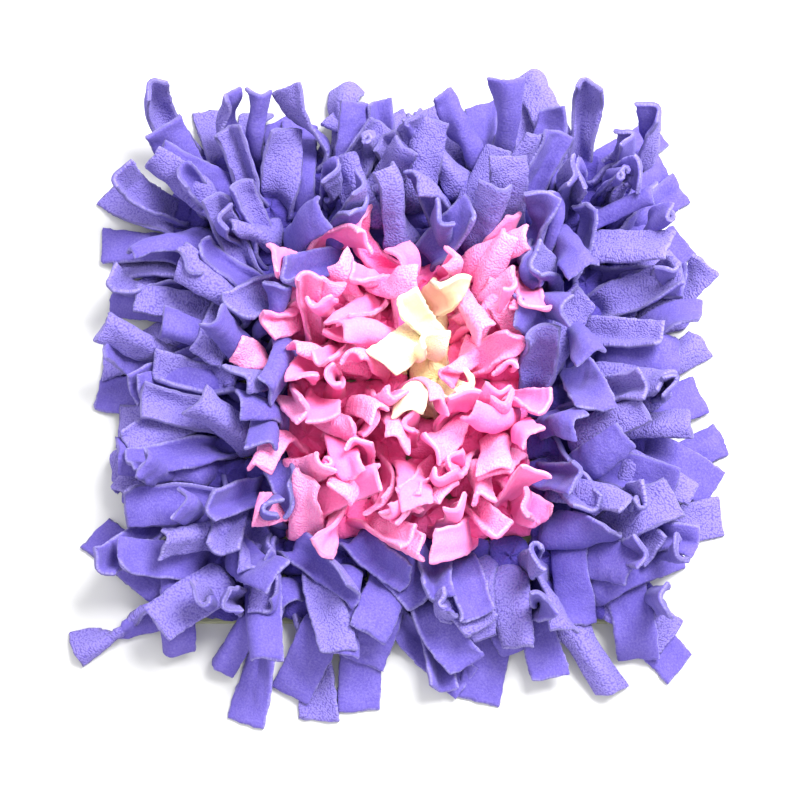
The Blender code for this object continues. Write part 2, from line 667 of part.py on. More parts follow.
def main():
    """Clear the scene, then build the lattice and the three colours of tails on it."""
    for item in list(bpy.data.objects):
        bpy.data.objects.remove(item)
    parts = bpy.data.collections.new("snuffle_mat")
    cutters = bpy.data.collections.new("cutters")
    for collection in (parts, cutters):
        bpy.context.scene.collection.children.link(collection)
    build_base(parts, cutters)

    size = (BED_SIDE, BED_SIDE, BED_TOP - BED_BOTTOM)
    purple = box("purple_tails", size, (0, 0, (BED_BOTTOM + BED_TOP) / 2), parts, BED_SLOPE)
    pink = bed_block("pink_tails", PINK_KNOTS, PINK_PLACE, parts)
    cream = bed_block("cream_tails", CREAM_KNOTS, CREAM_PLACE, parts)
    boolean(purple, "DIFFERENCE", bed_block("pink_place", PINK_KNOTS, PINK_PLACE, cutters, True))
    boolean(pink, "DIFFERENCE", bed_block("cream_place", CREAM_KNOTS, CREAM_PLACE, cutters, True))
    plan, edges = lay_tails()
    corners = tail_corners(plan, edges, FLEECE)
    for bed in (purple, pink, cream):
        build_tails(bed.name, plan, corners, bed)


if __name__ == "__main__":
    main()
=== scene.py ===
"""Snuffle mat: soft fleece tails, their knots and the rubber lattice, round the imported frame.

The frame's own ribbons give each tail its line, its width and its place. Here every ribbon becomes
a sheet of fleece that cups, curls and clears its neighbours.
"""

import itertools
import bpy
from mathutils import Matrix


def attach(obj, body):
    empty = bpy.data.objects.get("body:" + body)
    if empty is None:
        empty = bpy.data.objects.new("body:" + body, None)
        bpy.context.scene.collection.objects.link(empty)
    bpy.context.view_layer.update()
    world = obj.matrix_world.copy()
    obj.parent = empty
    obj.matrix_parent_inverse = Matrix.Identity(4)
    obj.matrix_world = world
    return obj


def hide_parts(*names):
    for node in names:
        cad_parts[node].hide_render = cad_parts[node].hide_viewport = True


bl_info = {
    "name": "Snuffle Mat",
    "version": (1, 0, 0),
    "blender": (4, 5, 0),
    "location": "3D Viewport > Sidebar > Snuffle Mat",
    "description": "Builds a fleece snuffle mat on a rubber lattice",
    "category": "Add Mesh",
}

import bpy
import numpy as np
from bpy.props import FloatProperty, FloatVectorProperty, PointerProperty
from bpy.types import Operator, Panel, PropertyGroup
from mathutils import Vector

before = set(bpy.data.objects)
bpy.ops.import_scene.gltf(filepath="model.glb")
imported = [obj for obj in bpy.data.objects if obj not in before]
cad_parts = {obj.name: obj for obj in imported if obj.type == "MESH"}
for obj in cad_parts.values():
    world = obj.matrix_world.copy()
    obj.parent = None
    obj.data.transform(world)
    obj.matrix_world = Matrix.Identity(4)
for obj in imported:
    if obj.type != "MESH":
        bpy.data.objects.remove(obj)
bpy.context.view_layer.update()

MM = 0.001
SEED = 11

# The frame's own sizes.
NODE_OF = {"purple": "purple_tails", "pink": "pink_tails", "cream": "cream_tails"}
SLOT_OF = {"purple": "purple_fleece", "pink": "pink_fleece", "cream": "cream_fleece"}
BED_LOW = 4.3 * MM
BED_TOP = 8 * MM
BED_DRAWN_IN = 3.5 * MM
ROOT_WIDTH = 8.5 * MM
ROOT_REACH = 9.5 * MM
RIBBON_WIDTH = 25 * MM
PITCH = 25 * MM
KNOTS_ACROSS = 12
FIELD = KNOTS_ACROSS * PITCH / 2
BED_REACH = FIELD + 1 * MM
RIBBON_ROWS = 5

# The reading of the frame: how exactly a point lies on the bed's top and sides, a count of steps
# that no ribbon reaches, and how much a thin side weighs when a row's corners are put in order.
ON_TOP = 2e-6
ON_SIDE = 5e-6
TOO_MANY = 99
THIN_COUNTS = 40

# The blocks of pink and of cream knots: half of their sizes, and their middles.
PINK_BLOCK = np.array([75, 87.5]) * MM
PINK_PLACE = np.array([0, -12.5]) * MM
CREAM_BLOCK = np.array([12.5, 37.5]) * MM
CREAM_PLACE = np.array([12.5, 12.5]) * MM

# The knots.
KNOT_SIZE = np.array([25, 24, 13]) * MM
KNOT_HEIGHT = 8.5 * MM
KNOT_CORNERS = 0.33
KNOT_FOLDS = (0.13, 0.07)
KNOT_TURN = 0.15
KNOT_RINGS = 12
KNOT_AROUND = 22

# The camera, the floor and the light.
CAMERA_ELEVATION = 76
CAMERA_DISTANCE = 1.15
CAMERA_AIM = (-0.0046, -0.0135, 0.012)
VIEW_REACH = 0.25
FLOOR_REACH = 3.0
FLOOR_GREY = 0.63
ROOM_LIGHT = 1.35
KEY_SPOT = (0.5, 0.45, 1.1)
KEY_SIZE = 0.7
KEY_POWER = 37

# The grid of each sheet while it settles, and the finer one afterwards. The last one has an
# extra line of points close to each cut.
ROWS = 20
COLUMNS = 9
FINE_ROWS = 33
FINE_COLUMNS = 13
NEAR_CUT = 0.02
MEASURED_AT = 61

# The settling of the sheets. The late ones are the ends that the frame leaves out.
THICKNESS = 3.1 * MM
CLEAR = 3.4 * MM
PASSES = 124
PAIRS_EVERY = 4
LOOKED_AHEAD = 1.5 * MM
ROOT_HELD = 0.6
HELD_UNTIL = 0.09
LOOSE_FROM = 0.16
GROWN_BY = 0.55
LATE_SIZE = 0.2
LATE_GROWS = (0, 0.5), (0.3, 0.85)
LATE_CLIMB = 0.8 * MM
LATE_CHORDS = (0.6, 0.95)
LATE_LENGTH = 60 * MM
LATE_LEAN = 1.6
LATE_LEANS = (0.45, 1.1)
SAGS_UNTIL = 0.85
BENDING = 0.3
SHEAR = 0.35
PUSH = 0.6
SAG = 0.05 * MM
GATHERED = 4.3
OPENED_AT = 0.36
ROLL_CHANGES = 0.6
ROLL_SWINGS = (0.4, 2.0)
FOLDED = (0.28, 0.58)
FOLDS = (1.5, 2.7)
FOLD_PLACES = (0.3, 0.7)
FOLD_WIDTH = 0.14
WAVES = 35
UPRIGHT_RISE = (0.15, 0.75)
UPRIGHT_SLANT = 55
LYING_SLANT = 25
WIDTH_VARIES = 0.1
LONGEST_STEP = 1.5 * MM

# The cuts and the crumples of each strip, and its fluffy rim.
CUT_SLANT = 6
CUT_UNEVEN = 0.5 * MM
CUT_SINES = (0.5, (1, 2)), (0.3, (2.5, 4.5)), (0.2, (6, 10))
CRUMPLES = (0, np.pi), (0, 2 * np.pi), (7 * MM, 22 * MM)
CRUMPLE_WAVES = 6
CRUMPLE_HEIGHT = 0.14 * MM
ROUNDED = 0.8
BULGE = 0.22
RAGGED = 0.22 * MM
CUT_ON_FACE = 0.6
# Painted shade: the colour is painted darker and stronger in hue below the first height and not above
# the second, and only inside the first reach from the middle, fading out by the second.
PAINTED_SHADE_HEIGHTS = (8 * MM, 40 * MM)
INSIDE = (0.6 * FIELD, 1.1 * FIELD)
ABOVE_FLOOR = 0.05 * MM

# The fleece's finish: how many pebbles, tufts, clumps and patches there are to a metre, and how
# often the light has bounced off the cloth where it is pale, dark and worn, and in the painted
# shade deep in the pile.
PEBBLES = 780.0
TUFTS = 700.0
CLUMPS = 260.0
PATCHES = 70.0
PALE = 0.84
DARK = 1.25
WORN = 1.3
PAINTED_SHADE_BOUNCES = 1.7
NAP_HEIGHT = 0.8 * MM


def unit(vectors):
    """The vectors scaled to length 1."""
    return vectors / np.maximum(np.linalg.norm(vectors, axis=-1, keepdims=True), 1e-12)


def smooth(low, high, x):
    """0 up to low, 1 from high on, and a smooth step between them."""
    t = np.clip((x - low) / (high - low), 0, 1)
    return t * t * (3 - 2 * t)


# ---------------------------------------------------------------- the frame's ribbons


def welded(node):
    """A node's points with doubles merged, and its triangles as indices into them."""
    mesh = node.data
    co = np.zeros(len(mesh.vertices) * 3)
    corners = np.zeros(len(mesh.loops), int)
    mesh.vertices.foreach_get("co", co)
    mesh.loops.foreach_get("vertex_index", corners)
    points, index = np.unique(np.round(co.reshape(-1, 3), 7), axis=0, return_inverse=True)
    return points, index.reshape(-1)[corners].reshape(-1, 3)


def on_bed(points):
    """Which points are on the top or the sloping sides of the bed of knots."""
    reach = np.abs(points[..., :2]).max(-1)
    slope = BED_REACH - BED_DRAWN_IN * (points[..., 2] - BED_LOW) / (BED_TOP - BED_LOW)
    return (np.abs(points[..., 2] - BED_TOP) < ON_TOP) | (np.abs(reach - slope) < ON_SIDE)


def spread_least(values, links, added):
    """Let each value fall to a neighbour's plus what is added for a step, until none falls."""
    values = values.copy()
    while True:
        before = values.copy()
        np.minimum.at(values, links[:, 0], before[links[:, 1]] + added)
        np.minimum.at(values, links[:, 1], before[links[:, 0]] + added)
        if (values == before).all():
            return values


def row_order(first, second, linked):
    """For each tail, the order of the second row's corners that follows the first row's.

    Of all 24 orders it is the one whose corners are all joined by an edge. Where the diagonals
    join another order too, it is the one that keeps the thin sides thin.
    """
    orders = np.array(list(itertools.permutations(range(4))))
    joined = linked[:, np.arange(4), orders].sum(-1)
    ordered = second[:, orders]
    away = np.linalg.norm(first[:, None] - ordered, axis=-1).sum(-1)
    thin = np.linalg.norm(ordered - ordered[:, :, [3, 2, 1, 0]], axis=-1).sum(-1)
    return orders[np.argmax(joined - away - THIN_COUNTS * thin, axis=1)]


def read_ribbons(node):
    """Each tail of a node as the left and right edge points of its rows: (tails, rows, 2, 3).

    A tail starts at the ring of points where it leaves the bed of knots. The points beyond are
    taken in steps along the edges, four to a row, and matched from row to row by those edges.
    """
    points, faces = welded(node)
    links = np.concatenate([faces[:, [0, 1]], faces[:, [1, 2]], faces[:, [2, 0]]])
    ring = np.zeros(len(points), bool)
    ring[faces[on_bed(points[faces]).all(1)]] = True
    free = links[~ring[links].any(1)]
    label = spread_least(np.arange(len(points)), free, 0)
    step = spread_least(np.where(ring, 0, TOO_MANY), links, 1)
    names, size = np.unique(label[~ring], return_counts=True)
    tails = names[size == 4 * RIBBON_ROWS]
    member = np.stack([np.flatnonzero((label == name) & ~ring) for name in tails])
    member = np.take_along_axis(member, np.argsort(step[member], 1, kind="stable"), 1)
    member = member.reshape(len(tails), RIBBON_ROWS, 4)
    keys = np.unique(np.concatenate([links @ [len(points), 1], links[:, ::-1] @ [len(points), 1]]))

    first = points[member[:, 0]]
    gap = np.linalg.norm(first[:, :1] - first, axis=-1)
    gap[:, 0] = np.inf
    by_gap = np.argsort(gap, 1)
    order = np.stack([np.zeros(len(tails), int), by_gap[:, 1], by_gap[:, 2], by_gap[:, 0]], 1)
    member[:, 0] = np.take_along_axis(member[:, 0], order, 1)
    for row in range(1, RIBBON_ROWS):
        pair = member[:, row - 1, :, None] * len(points) + member[:, row, None, :]
        linked = np.isin(pair, keys)
        order = row_order(points[member[:, row - 1]], points[member[:, row]], linked)
        member[:, row] = np.take_along_axis(member[:, row], order, 1)
    corner = points[member]
    edges = (corner + corner[:, :, [3, 2, 1, 0]])[:, :, :2] / 2

    low = np.zeros((len(tails), 2, 3))
    for i, row in enumerate(member[:, 0]):
        near = np.isin(links, row)
        around = np.unique(links[near[:, ::-1] & ring[links]])
        across = unit((edges[i, 0, 1] - edges[i, 0, 0]) * [1, 1, 0])
        low[i] = points[around].mean(0) + np.array([[-0.5], [0.5]]) * ROOT_WIDTH * across
    return np.concatenate([low[:, None], edges], 1)


# ---------------------------------------------------------------- sheets of fleece


def on_curve(rows, where):
    """Points of smooth curves through the rows, at places counted in rows: Catmull-Rom."""
    ends = [2 * rows[:, :1] - rows[:, 1:2], rows, 2 * rows[:, -1:] - rows[:, -2:-1]]
    padded = np.concatenate(ends, 1)
    whole = np.clip(where.astype(int), 0, rows.shape[1] - 2)
    shape = whole.shape + (1,) * (rows.ndim - 2)
    part = (where - whole).reshape(shape)
    a, b, c, d = (np.take_along_axis(padded, (whole + k).reshape(shape), 1) for k in range(4))
    return b + 0.5 * part * (c - a + part * (2 * a - 5 * b + 4 * c - d + part * (3 * (b - c) + d - a)))


def even_rows(ribbons, count):
    """The ribbons with so many rows, evenly spaced along their middles, and their lengths."""
    fine = np.linspace(0, ribbons.shape[1] - 1, MEASURED_AT)
    middle = on_curve(ribbons.mean(2), np.broadcast_to(fine, (len(ribbons), len(fine))))
    run = np.cumsum(np.linalg.norm(np.diff(middle, axis=1), axis=-1), 1)
    run = np.pad(run, ((0, 0), (1, 0)))
    wanted = run[:, -1:] * np.linspace(0, 1, count)
    index = np.clip((run[:, None] <= wanted[..., None]).sum(-1) - 1, 0, len(fine) - 2)
    low, high = (np.take_along_axis(run, index + k, 1) for k in range(2))
    where = fine[index] + (wanted - low) / (high - low) * (fine[1] - fine[0])
    return on_curve(ribbons, where), run[:, -1]


def near_pairs(points, owner, reach):
    """Pairs of points on different tails that are closer than reach, found in a grid of cells."""
    cell = np.floor(points / reach).astype(np.int64)
    cell -= cell.min(0) - 1
    size = cell.max(0) + 2
    key = (cell[:, 0] * size[1] + cell[:, 1]) * size[2] + cell[:, 2]
    order = np.argsort(key, kind="stable")
    key = key[order]
    place = np.arange(len(key))
    near = (-1, 0, 1)
    steps = [(dx * size[1] + dy) * size[2] + dz for dx in near for dy in near for dz in near]
    found = []
    for step in [step for step in steps if step >= 0]:
        first = place + 1 if step == 0 else np.searchsorted(key, key + step, "left")
        many = np.maximum(np.searchsorted(key, key + step, "right") - first, 0)
        i = np.repeat(place, many)
        j = np.repeat(first - np.cumsum(many) + many, many) + np.arange(many.sum())
        a, b = order[i], order[j]
        other = owner[a] != owner[b]
        a, b = a[other], b[other]
        apart = points[a] - points[b]
        close = (apart * apart).sum(1) < reach * reach
        found.append(np.stack([a[close], b[close]]))
    return np.concatenate(found, 1)


def normals_of(grid):
    """The unit normal at each point of each sheet."""
    return unit(np.cross(np.gradient(grid, axis=1), np.gradient(grid, axis=2)))


def hold_links(grid, rest, axis, start):
    """Bring every other pair of neighbours along an axis back towards its resting distance."""
    turned = np.moveaxis(grid, axis, 1)
    first, second = turned[:, start:-1:2], turned[:, start + 1::2]
    step = second - first
    size = np.linalg.norm(step, axis=-1, keepdims=True)
    move = 0.5 * step * (1 - rest / np.maximum(size, 1e-9))
    first += move
    second -= move


def hold_diagonals(grid, rest):
    """Bring the diagonals of every cell back towards their resting length, which resists shear."""
    move = np.zeros_like(grid)
    for first, second in (
        ((slice(None, -1), slice(None, -1)), (slice(1, None), slice(1, None))),
        ((slice(1, None), slice(None, -1)), (slice(None, -1), slice(1, None))),
    ):
        one, other = (slice(None), *first), (slice(None), *second)
        step = grid[other] - grid[one]
        size = np.linalg.norm(step, axis=-1, keepdims=True)
        pull = 0.25 * SHEAR * step * (1 - rest / np.maximum(size, 1e-9))
        move[one] += pull
        move[other] -= pull
    grid += move


def keep_apart(grid, pairs, loose):
    """Push the points of different sheets off each other where they are closer than CLEAR."""
    points = grid.reshape(-1, 3)
    a, b = pairs
    apart = points[a] - points[b]
    size = np.sqrt((apart * apart).sum(1))
    hit = size < CLEAR
    a, b, apart, size = a[hit], b[hit], apart[hit], size[hit]
    push = apart * (0.5 * (CLEAR - size) / np.maximum(size, 1e-6))[:, None]
    both, push = np.concatenate([a, b]), np.concatenate([push, -push])
    hits = np.maximum(np.bincount(both, minlength=len(points)), 1)
    move = np.stack([np.bincount(both, push[:, k], len(points)) for k in range(3)], -1)
    grid += loose * PUSH * (move / hits[:, None]).reshape(grid.shape)


def lowest_height(grid):
    """How low the middle of a sheet may lie: on the floor, or on the knots further in."""
    inside = 1 - smooth(FIELD, FIELD + 10 * MM, np.abs(grid[..., :2]).max(-1))
    return THICKNESS / 2 + (BED_TOP + 1 * MM) * inside


def natural_rolls(chord, upright, width, rng):
    """How each sheet rolls of itself: its bends along, across and aslant, at each point.

    Each tail rolls round one axis. It is gathered tightly round its own length at the knot, and
    opens to its own roundness by OPENED_AT of its length, where the axis starts to turn aslant.
    A roll of strength k round an axis turned by t bends k sin(t)^2 along, k cos(t)^2 across, and
    twists by k sin(t) cos(t), so that the cloth needs no stretch. The strength swings from edge
    to edge, so that most tails fold more on one side. Some tails are folded along one narrow
    line instead: their bend across is a bell curve. The line of the tail waves a little.
    A strip rolled through an angle a is narrower by a share of about a^2 / 24, and that gives
    the roundness of each tail from the width of its ribbon.
    """
    n = len(chord)
    width = width[:, None, None]
    u = np.linspace(0, 1, ROWS)[None, :, None]
    v = np.linspace(0, 1, COLUMNS)
    opened = smooth(0, OPENED_AT, u)
    share = np.clip(1 - chord[:, ROWS // 2:].mean(1) / RIBBON_WIDTH, 0.004, 1)
    roundness = np.sqrt(24 * share)[:, None, None]
    change = rng.normal(0, ROLL_CHANGES, (n, 1, 1)) * (u - 0.6)
    start, swing = rng.uniform(0, 2 * np.pi, (n, 1, 1)), rng.uniform(*ROLL_SWINGS, (n, 1, 1))
    uneven = 1 + swing * np.cos(2 * np.pi * v * rng.choice([0.5, 1, 1], (n, 1, 1)) + start)
    folded = rng.random(n) < FOLDED[0] + (FOLDED[1] - FOLDED[0]) * upright
    crease = (v - rng.uniform(*FOLD_PLACES, (n, 1, 1))) / FOLD_WIDTH
    crease = rng.uniform(*FOLDS, (n, 1, 1)) * np.exp(-crease**2) / (FOLD_WIDTH * np.sqrt(np.pi))
    roll = np.where(folded[:, None, None], crease + 0 * u, roundness * (1 + change) * uneven)
    roll = GATHERED * (1 - opened) + roll * opened
    roll = roll * rng.choice([-1, 1], (n, 1, 1)) / width
    most = np.radians(LYING_SLANT + upright * (UPRIGHT_SLANT - LYING_SLANT))
    turn = (most * rng.uniform(-1, 1, n))[:, None, None] * smooth(OPENED_AT, 1, u)
    wave = rng.normal(0, 1, (n, 1, 1)) * WAVES * (0.2 + 0.8 * upright)[:, None, None]
    wave = wave * np.sin(2 * np.pi * (u * rng.uniform(0.7, 1.3, (n, 1, 1)) + start)) * opened
    return roll * np.sin(turn) ** 2 + wave, roll * np.cos(turn) ** 2, roll * np.sin(turn) * np.cos(turn)


def bend_towards(grid, normal, bows):
    """Move each point towards its neighbours' middles, by a bow off them, in four directions."""
    for (du, dv), bow in bows.items():
        i, j = slice(du, -du or None), slice(abs(dv), -abs(dv) or None)
        first = grid[:, :-2 * du or None, (-2 * dv if dv < 0 else 0):(-2 * dv if dv > 0 else None)]
        second = grid[:, 2 * du:, (2 * dv if dv > 0 else 0):(2 * dv if dv < 0 else None)]
        move = (first + second) / 2 - grid[:, i, j] + normal[:, i, j] * bow[:, i, j, None]
        grid[:, i, j] += BENDING * move


def settle(ribbons, late, width, curl):
    """Open the frame's flat ribbons out into sheets that cup and curl, and clear each other.

    A pass bends each sheet towards its own natural shape, lets it sag, holds its threads to
    their length, and pushes it off its neighbours and the floor. It is rounded to a micron.
    The late tails start short and narrow, and grow up between the others.
    """
    rng = np.random.default_rng(SEED)
    n = len(ribbons)
    edges, length = even_rows(ribbons, ROWS)
    across = np.linspace(0, 1, COLUMNS)[:, None]
    grid = edges[:, :, :1] * (1 - across) + edges[:, :, 1:] * across
    u = np.linspace(0, 1, ROWS)
    home = grid[:, :2].mean(2, keepdims=True).copy()

    full_width = (width * rng.uniform(1 - WIDTH_VARIES, 1 + WIDTH_VARIES, n))[:, None]
    chord = np.linalg.norm(edges[:, :, 1] - edges[:, :, 0], axis=-1)
    chord[late] += (rng.uniform(*LATE_CHORDS, (late.sum(), 1)) * full_width[late] - ROOT_WIDTH) * (
        smooth(0, OPENED_AT, u))
    rise = np.abs(unit(ribbons[:, -1].mean(1) - ribbons[:, 1].mean(1))[:, 2])
    upright = smooth(*UPRIGHT_RISE, rise)
    curl = rng.normal(0, 1, n) * curl * (0.25 + 0.75 * upright)

    along, over, aslant = natural_rolls(chord, upright, width, rng)
    along = along + (curl[:, None] * smooth(0.4, 1, u))[..., None]
    flat_bow = np.zeros((n, ROWS, COLUMNS))
    rows = grid[:, :-2] + grid[:, 2:] - 2 * grid[:, 1:-1]
    flat_bow[:, 1:-1] = -0.5 * (rows * normals_of(grid)[:, 1:-1]).sum(-1)
    flat_bow[late] = 0

    loose = smooth(0.0, LOOSE_FROM, u)[None, :, None, None]
    live = np.flatnonzero(np.broadcast_to((u > HELD_UNTIL)[None, :, None], grid.shape[:3]))
    owner = np.repeat(np.arange(n), ROWS * COLUMNS)
    sag = (SAG * (1.25 - upright))[:, None, None] * smooth(0.1, 1, u)[:, None]
    grid[late] = home[late, :1] + LATE_SIZE * (grid[late] - home[late, :1])
    pairs = None
    for k in range(PASSES):
        done = k / PASSES
        opening = smooth(0, GROWN_BY, done)
        long, wide = (LATE_SIZE + (1 - LATE_SIZE) * smooth(*span, done) for span in LATE_GROWS)
        gap = (chord * (1 - opening) + full_width * opening)[..., None] / (COLUMNS - 1)
        gap = gap * np.where(late, wide, 1)[:, None, None]
        run = length[:, None, None] / (ROWS - 1) * np.where(late, long, 1)[:, None, None]
        both = run**2 * along + gap**2 * over * opening
        twist = 2 * run * gap * aslant
        bows = {
            (1, 0): 0.5 * run**2 * along + flat_bow,
            (0, 1): 0.5 * gap**2 * over * opening,
            (1, 1): 0.5 * (both + twist) + flat_bow,
            (1, -1): 0.5 * (both - twist) + flat_bow,
        }
        bows = {key: np.broadcast_to(bow, grid.shape[:3]) for key, bow in bows.items()}
        before = grid.copy()
        bend_towards(grid, normals_of(grid), bows)
        if done < SAGS_UNTIL:
            grid[..., 2] -= sag
        if done < LATE_GROWS[0][1]:
            grid[late, ..., 2] += LATE_CLIMB * u[:, None]
        diagonal = np.sqrt(run**2 + (0.5 * (gap[:, 1:] + gap[:, :-1])) ** 2)[..., None]
        threads = run[..., None], np.moveaxis(gap[..., None], 1, 2)
        for half in (0, 1):
            for start in (0, 1):
                hold_links(grid, threads[0], 1, start)
                hold_links(grid, threads[1], 2, start)
            hold_diagonals(grid, diagonal)
            grid[:, :2] += ROOT_HELD * (home - grid[:, :2].mean(2, keepdims=True))
            if k % PAIRS_EVERY == 0 and half == 0:
                points = grid.reshape(-1, 3)[live]
                pairs = live[near_pairs(points, owner[live], CLEAR + LOOKED_AHEAD)]
            keep_apart(grid, pairs, loose)
        low = lowest_height(grid)
        grid[:, 3:, :, 2] = np.maximum(grid[:, 3:, :, 2], low[:, 3:])
        step = grid - before
        most = np.linalg.norm(step, axis=-1, keepdims=True)
        grid = np.round(before + step * np.minimum(1, LONGEST_STEP / np.maximum(most, 1e-9)), 6)
    return grid, length


def uneven_line(n, count, rng):
    """A line for each of n edges that wanders smoothly between about -1 and 1: three sines."""
    t = np.linspace(0, 1, count)
    line = 0
    for size, waves in CUT_SINES:
        start, turns = rng.uniform(0, 2 * np.pi, (n, 1)), rng.uniform(*waves, (n, 1))
        line = line + size * np.sin(2 * np.pi * turns * t + start)
    return line


def cut_out(grid, length, width, rng):
    """The sheets on a finer grid, inside uneven cuts: a slanted end and wavy sides.

    Each column of points runs to its own place at the cut end, and each row from one cut side
    to the other. Between the grid's points the surface is a smooth curve both ways.
    """
    n, rows, columns = grid.shape[:3]
    width = width[:, None]
    v = np.linspace(-0.5, 0.5, columns)
    slant = np.radians(rng.normal(0, CUT_SLANT, (n, 1)))
    short = np.tan(slant) * v * width / length[:, None]
    short = short - short.min(1, keepdims=True)
    short = short + (1 + uneven_line(n, columns, rng)) * CUT_UNEVEN / length[:, None]
    u = np.append(np.linspace(0, 1, FINE_ROWS), 1 - NEAR_CUT / 3)
    u.sort()
    where = (rows - 1) * u * (1 - short[..., None] * smooth(0.5, 1, u))
    lines = np.moveaxis(grid, 2, 1).reshape(n * columns, rows, 3)
    grid = on_curve(lines, where.reshape(n * columns, len(u)))
    grid = np.moveaxis(grid.reshape(n, columns, len(u), 3), 1, 2)
    low, high = ((1 + uneven_line(n, len(u), rng)) * CUT_UNEVEN / width for _ in range(2))
    v = np.append(np.linspace(0, 1, FINE_COLUMNS), [NEAR_CUT, 1 - NEAR_CUT])
    v.sort()
    where = (columns - 1) * (low[..., None] + v * (1 - low - high)[..., None])
    grid = on_curve(grid.reshape(-1, columns, 3), where.reshape(-1, len(v)))
    grid = grid.reshape(n, len(u), len(v), 3)
    grid = grid + crumples(grid, width, length, rng)[..., None] * normals_of(grid)
    return grid, u, v


def crumples(grid, width, length, rng):
    """The height of low folds all over each sheet.

    It is a sum of straight waves, each with its own direction, length and start.
    """
    n, rows, columns = grid.shape[:3]
    x = np.linspace(0, 1, rows)[None, :, None] * length[:, None, None]
    y = np.linspace(0, 1, columns) * width[..., None]
    height = 0
    for _ in range(CRUMPLE_WAVES):
        way, start, long = (rng.uniform(*span, (n, 1, 1)) for span in CRUMPLES)
        height = height + np.sin(2 * np.pi * (x * np.cos(way) + y * np.sin(way)) / long + start)
    return CRUMPLE_HEIGHT * height


def rim_of(rows, columns):
    """The indices of a grid's border points, in order round it."""
    index = np.arange(rows * columns).reshape(rows, columns)
    return np.concatenate([index[0], index[1:, -1], index[-1, -2::-1], index[-2:0:-1, 0]])


def sheet_faces(rows, columns):
    """The faces of one sheet: its two sides, and a rounded rim of two bands between them.

    The points are the upper side's grid, then the lower side's, then the rim's ring.
    """
    many = rows * columns
    index = np.arange(many).reshape(rows, columns)
    quads = np.stack([index[:-1, :-1], index[1:, :-1], index[1:, 1:], index[:-1, 1:]], -1)
    quads = quads.reshape(-1, 4)
    rim = rim_of(rows, columns)
    ring = 2 * many + np.arange(len(rim))
    upper = np.stack([rim, np.roll(rim, -1), np.roll(ring, -1), ring], -1)
    lower = np.stack([ring, np.roll(ring, -1), np.roll(rim, -1) + many, rim + many], -1)
    return np.concatenate([quads, quads[:, ::-1] + many, upper, lower])


def thickened(grid, u, v, length, width, rng):
    """The points of closed sheets with crisp, slightly ragged cuts, their UVs and attributes."""
    n, rows, columns = grid.shape[:3]
    rim = rim_of(rows, columns)
    flat = grid.reshape(n, -1, 3)
    thick = np.full((rows, columns, 1), 0.5 * THICKNESS)
    thick[:, [0, -1]] *= ROUNDED
    thick[-1] *= ROUNDED
    lift = (thick * normals_of(grid)).reshape(n, -1, 3)
    inner = np.clip(np.stack(np.unravel_index(rim, (rows, columns))), 2, [[rows - 3], [columns - 3]])
    out = unit(flat[:, rim] - flat[:, inner[0] * columns + inner[1]])
    ring = flat[:, rim] + (BULGE * THICKNESS + rng.normal(0, RAGGED, (n, len(rim), 1))) * out
    points = np.concatenate([flat + lift, flat - lift, ring], 1)
    points[..., 2] = np.maximum(points[..., 2], ABOVE_FLOOR)

    along, across = u[:, None] * length[:, None, None], v * width[:, None, None]
    place = np.stack(np.broadcast_arrays(along, across), -1).reshape(n, -1, 2)
    place = place + rng.uniform(0, 3, (n, 1, 2))
    place = np.concatenate([place, place + [0.3, 0.7], place[:, rim]], 1)
    cut = np.zeros((rows, columns))
    cut[:, [0, -1]] = CUT_ON_FACE
    cut[-1] = CUT_ON_FACE
    side = rows * columns
    cut = np.concatenate([cut.ravel(), cut.ravel(), np.ones(len(rim))])
    nap = np.repeat([1.0, 0.0, 0.5], [side, side, len(rim)])
    nap = np.where(rng.random((n, 1)) < 0.5, 1 - nap, nap)
    tint = rng.normal(0, 1, (n, 1))
    # Painted shade: within the mat's field, the lower a point lies in the pile, the darker and stronger
    # its colour is painted.
    inside = 1 - smooth(*INSIDE, np.abs(points[..., :2]).max(-1))
    deep = inside * (1 - smooth(*PAINTED_SHADE_HEIGHTS, points[..., 2]))
    looks = {"cut": cut, "nap": nap, "tint": tint, "deep": deep}
    return points, place, {key: np.broadcast_to(look, nap.shape) for key, look in looks.items()}


def add_mesh(name, points, faces, place=None, attributes=(), material=None):
    """A smooth mesh object at the origin, with a UV map and attributes on its points."""
    mesh = bpy.data.meshes.new(name)
    mesh.vertices.add(len(points))
    mesh.vertices.foreach_set("co", np.ascontiguousarray(points, np.float32).ravel())
    mesh.loops.add(faces.size)
    mesh.loops.foreach_set("vertex_index", faces.astype(np.int32).ravel())
    mesh.polygons.add(len(faces))
    mesh.polygons.foreach_set("loop_start", np.arange(0, faces.size, faces.shape[1], dtype=np.int32))
    mesh.update(calc_edges=True)
    mesh.shade_smooth()
    if place is not None:
        layer = mesh.uv_layers.new(name="cloth")
        layer.uv.foreach_set("vector", place[faces.ravel()].astype(np.float32).ravel())
    for key, values in dict(attributes).items():
        layer = mesh.attributes.new(key, "FLOAT", "POINT")
        layer.data.foreach_set("value", np.ascontiguousarray(values, np.float32))
    if material is not None:
        mesh.materials.append(material)
    piece = bpy.data.objects.new(name, mesh)
    bpy.context.scene.collection.objects.link(piece)
    return piece


def add_copies(name, points, faces, ends, material):
    """One piece of many copies of a tube, each with its two ends closed by fans of quads."""
    n, many = points.shape[:2]
    caps = []
    for end in ends:
        half = len(end) // 2
        caps.append(np.stack([end[:half - 1], end[1:half], end[-2:-half - 1:-1], end[-1:-half:-1]], -1))
    faces = np.concatenate([faces, *caps])
    steps = np.arange(n)[:, None, None] * many
    flat = points.reshape(-1, 3)
    place = flat[:, :2] + 0.5 * flat[:, 2:]
    plain = np.zeros(len(flat))
    # The knots lie under the tails and take the full painted shade.
    looks = {"cut": plain, "nap": plain + 0.5, "tint": plain, "deep": plain + 1}
    return add_mesh(name, flat, (faces + steps).reshape(-1, 4), place, looks, material)


